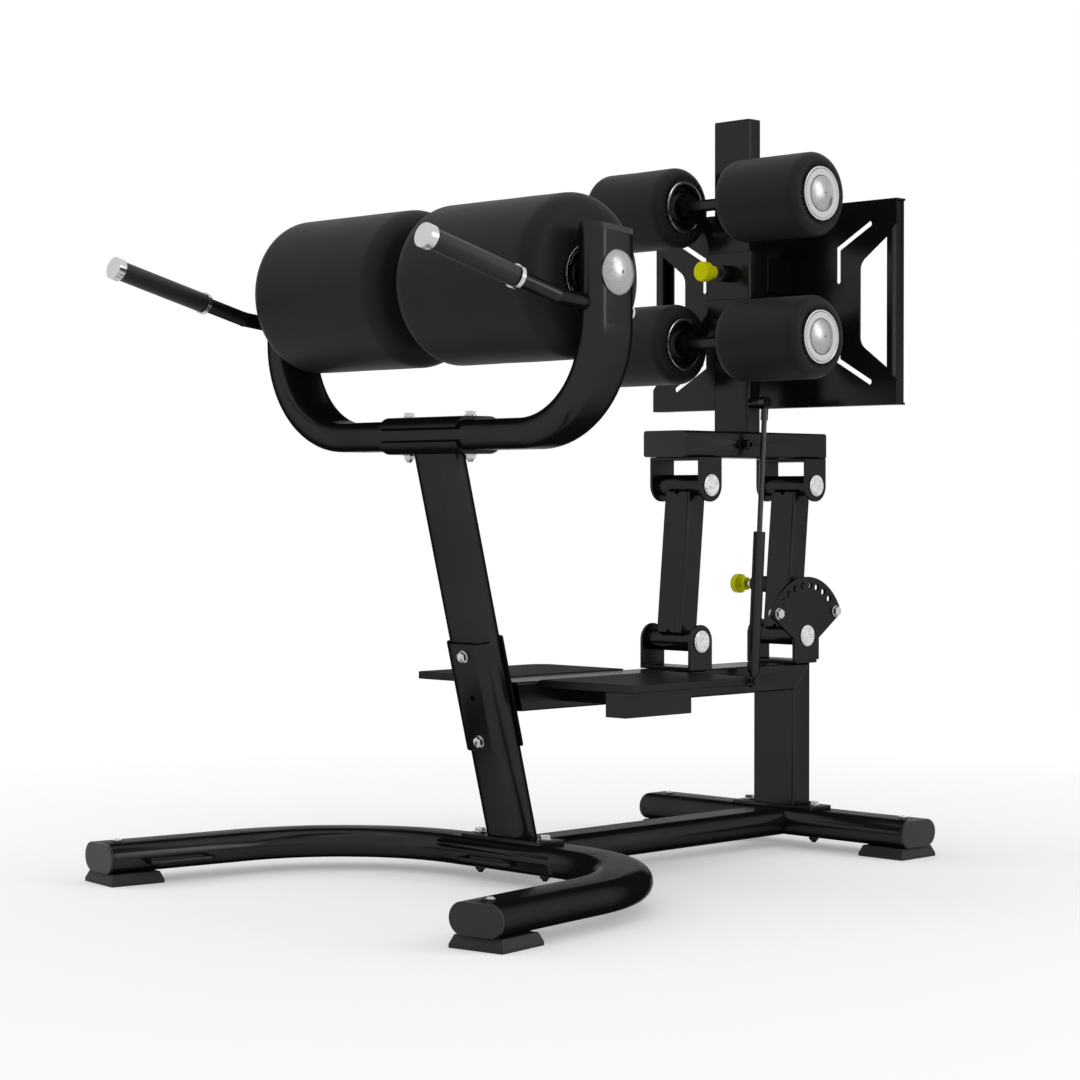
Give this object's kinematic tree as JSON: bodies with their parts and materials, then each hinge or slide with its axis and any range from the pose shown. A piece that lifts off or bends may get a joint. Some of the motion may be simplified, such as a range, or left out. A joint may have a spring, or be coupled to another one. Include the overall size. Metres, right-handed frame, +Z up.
{
  "type": "glute ham developer",
  "caption": "Glute ham developer with padded thigh rollers on a yoke, a swinging parallelogram ankle carriage with foot plate, step plates, long handles and a U-shaped base.",
  "frame": {"origin": "on the floor, under the middle of the object's bounding box at rest", "axes": "+X to the right across the machine, +Y from the handles towards the foot plate, +Z up"},
  "size_m": [1.0282, 1.3781, 1.3568],
  "materials": {
    "frame_paint": "satin powder coat",
    "step_paint": "fine matte texture",
    "cap_plastic": "matte",
    "foot_rubber": "matte",
    "bolt_chrome": "polished",
    "grip_rubber": "matte",
    "pad_cover": "soft satin",
    "hub_metal": "polished rings",
    "bush_plastic": "matte",
    "housing_steel": "satin",
    "knob_yellow": "gloss",
    "strut_black": "satin",
    "rod_steel": "satin"
  },
  "bodies": {
    "base": {"front_u_tube": "frame_paint", "base_beam": "frame_paint", "rear_crossbar": "frame_paint", "tube_end_caps": "cap_plastic", "rubber_feet": "foot_rubber", "band_hooks": "frame_paint", "front_post": "frame_paint", "rear_post": "frame_paint", "post_base_plates": "frame_paint", "frame_bolts": "bolt_chrome", "mid_beam": "frame_paint", "clamp_plates": "frame_paint", "yoke_saddles": "frame_paint", "step_plates": "step_paint", "step_supports": "frame_paint", "yoke": "frame_paint", "yoke_end_caps": "cap_plastic", "thigh_axle": "bolt_chrome", "handles": "frame_paint", "handle_grips": "grip_rubber", "handle_trim": "bolt_chrome", "lower_brackets": "frame_paint", "sector_plate": "frame_paint", "lower_pivot_pins": "bolt_chrome", "stop_bolts": "bolt_chrome"},
    "left_thigh_roller": {"left_thigh_pad": "pad_cover", "left_thigh_core": "hub_metal"},
    "right_thigh_roller": {"right_thigh_pad": "pad_cover", "right_thigh_core": "hub_metal"},
    "front_swing_link": {"front_link": "frame_paint", "front_link_bushes": "bush_plastic"},
    "rear_swing_link": {"rear_link": "frame_paint", "rear_link_bushes": "bush_plastic", "link_pin_housing": "housing_steel"},
    "link_pin": {"link_pull_pin": "bolt_chrome", "link_pin_knob": "knob_yellow"},
    "swing_frame": {"swing_beam": "frame_paint", "swing_end_plugs": "cap_plastic", "upper_brackets": "frame_paint", "upper_pivot_pins": "bolt_chrome", "column": "frame_paint"},
    "ankle_carriage": {"sleeve": "frame_paint", "slide_liners": "bush_plastic", "gusset_plates": "frame_paint", "ankle_axles": "bolt_chrome", "foot_plate": "frame_paint", "foot_plate_arms": "frame_paint", "carriage_pin_housing": "housing_steel"},
    "carriage_pin": {"carriage_pull_pin": "bolt_chrome", "carriage_pin_knob": "knob_yellow"},
    "strut_lower": {"strut_cylinder": "strut_black"},
    "strut_upper": {"strut_rod": "rod_steel"},
    "upper_left_ankle_roller": {"upper_left_roller": "pad_cover", "upper_left_hub": "hub_metal"},
    "upper_right_ankle_roller": {"upper_right_roller": "pad_cover", "upper_right_hub": "hub_metal"},
    "lower_left_ankle_roller": {"lower_left_roller": "pad_cover", "lower_left_hub": "hub_metal"},
    "lower_right_ankle_roller": {"lower_right_roller": "pad_cover", "lower_right_hub": "hub_metal"}
  },
  "joints": [
    {"name": "swing", "type": "hinge", "parent": "base", "child": "rear_swing_link", "pos_m": [0, 0.5856, 0.396], "axis": [-1, 0, 0], "range_deg": [-52, 39]},
    {"name": "swing_frame_pivot", "type": "hinge", "parent": "rear_swing_link", "child": "swing_frame", "pos_m": [0, 0.61183, 0.67879], "axis": [-1, 0, 0], "range_deg": [-39, 52]},
    {"name": "front_link_pivot", "type": "hinge", "parent": "base", "child": "front_swing_link", "pos_m": [0, 0.2856, 0.396], "axis": [-1, 0, 0], "range_deg": [-52, 39]},
    {"name": "strut_lower_pivot", "type": "hinge", "parent": "base", "child": "strut_lower", "pos_m": [0.077, 0.4116, 0.319], "axis": [-1, 0, 0], "range_deg": [-30, 23]},
    {"name": "strut_upper_pivot", "type": "hinge", "parent": "swing_frame", "child": "strut_upper", "pos_m": [0.077, 0.44383, 0.83079], "axis": [-1, 0, 0], "range_deg": [-30, 23]},
    {"name": "link_pin_slide", "type": "slide", "parent": "rear_swing_link", "child": "link_pin", "axis": [1, 0, 0], "range_m": [0, 0.011]},
    {"name": "carriage_height", "type": "slide", "parent": "swing_frame", "child": "ankle_carriage", "axis": [0, 0, 1], "range_m": [-0.04, 0.16]},
    {"name": "carriage_pin_slide", "type": "slide", "parent": "ankle_carriage", "child": "carriage_pin", "axis": [0, 1, 0], "range_m": [0, 0.011]},
    {"name": "left_thigh_spin", "type": "hinge", "parent": "base", "child": "left_thigh_roller", "pos_m": [-0.182, -0.3004, 1.005], "axis": [1, 0, 0], "continuous": true},
    {"name": "right_thigh_spin", "type": "hinge", "parent": "base", "child": "right_thigh_roller", "pos_m": [0.182, -0.3004, 1.005], "axis": [1, 0, 0], "continuous": true},
    {"name": "upper_left_ankle_spin", "type": "hinge", "parent": "ankle_carriage", "child": "upper_left_ankle_roller", "pos_m": [-0.1625, 0.38033, 1.196], "axis": [1, 0, 0], "continuous": true},
    {"name": "upper_right_ankle_spin", "type": "hinge", "parent": "ankle_carriage", "child": "upper_right_ankle_roller", "pos_m": [0.1625, 0.38033, 1.196], "axis": [1, 0, 0], "continuous": true},
    {"name": "lower_left_ankle_spin", "type": "hinge", "parent": "ankle_carriage", "child": "lower_left_ankle_roller", "pos_m": [-0.1625, 0.38033, 0.942], "axis": [1, 0, 0], "continuous": true},
    {"name": "lower_right_ankle_spin", "type": "hinge", "parent": "ankle_carriage", "child": "lower_right_ankle_roller", "pos_m": [0.1625, 0.38033, 0.942], "axis": [1, 0, 0], "continuous": true}
  ],
  "couplings": [
    {"joint": "swing_frame_pivot", "follows": "swing", "ratio": -1},
    {"joint": "front_link_pivot", "follows": "swing", "ratio": 1},
    {"joint": "strut_lower_pivot", "follows": "swing", "ratio": 0.5558},
    {"joint": "strut_upper_pivot", "follows": "swing", "ratio": 0.5558}
  ]
}
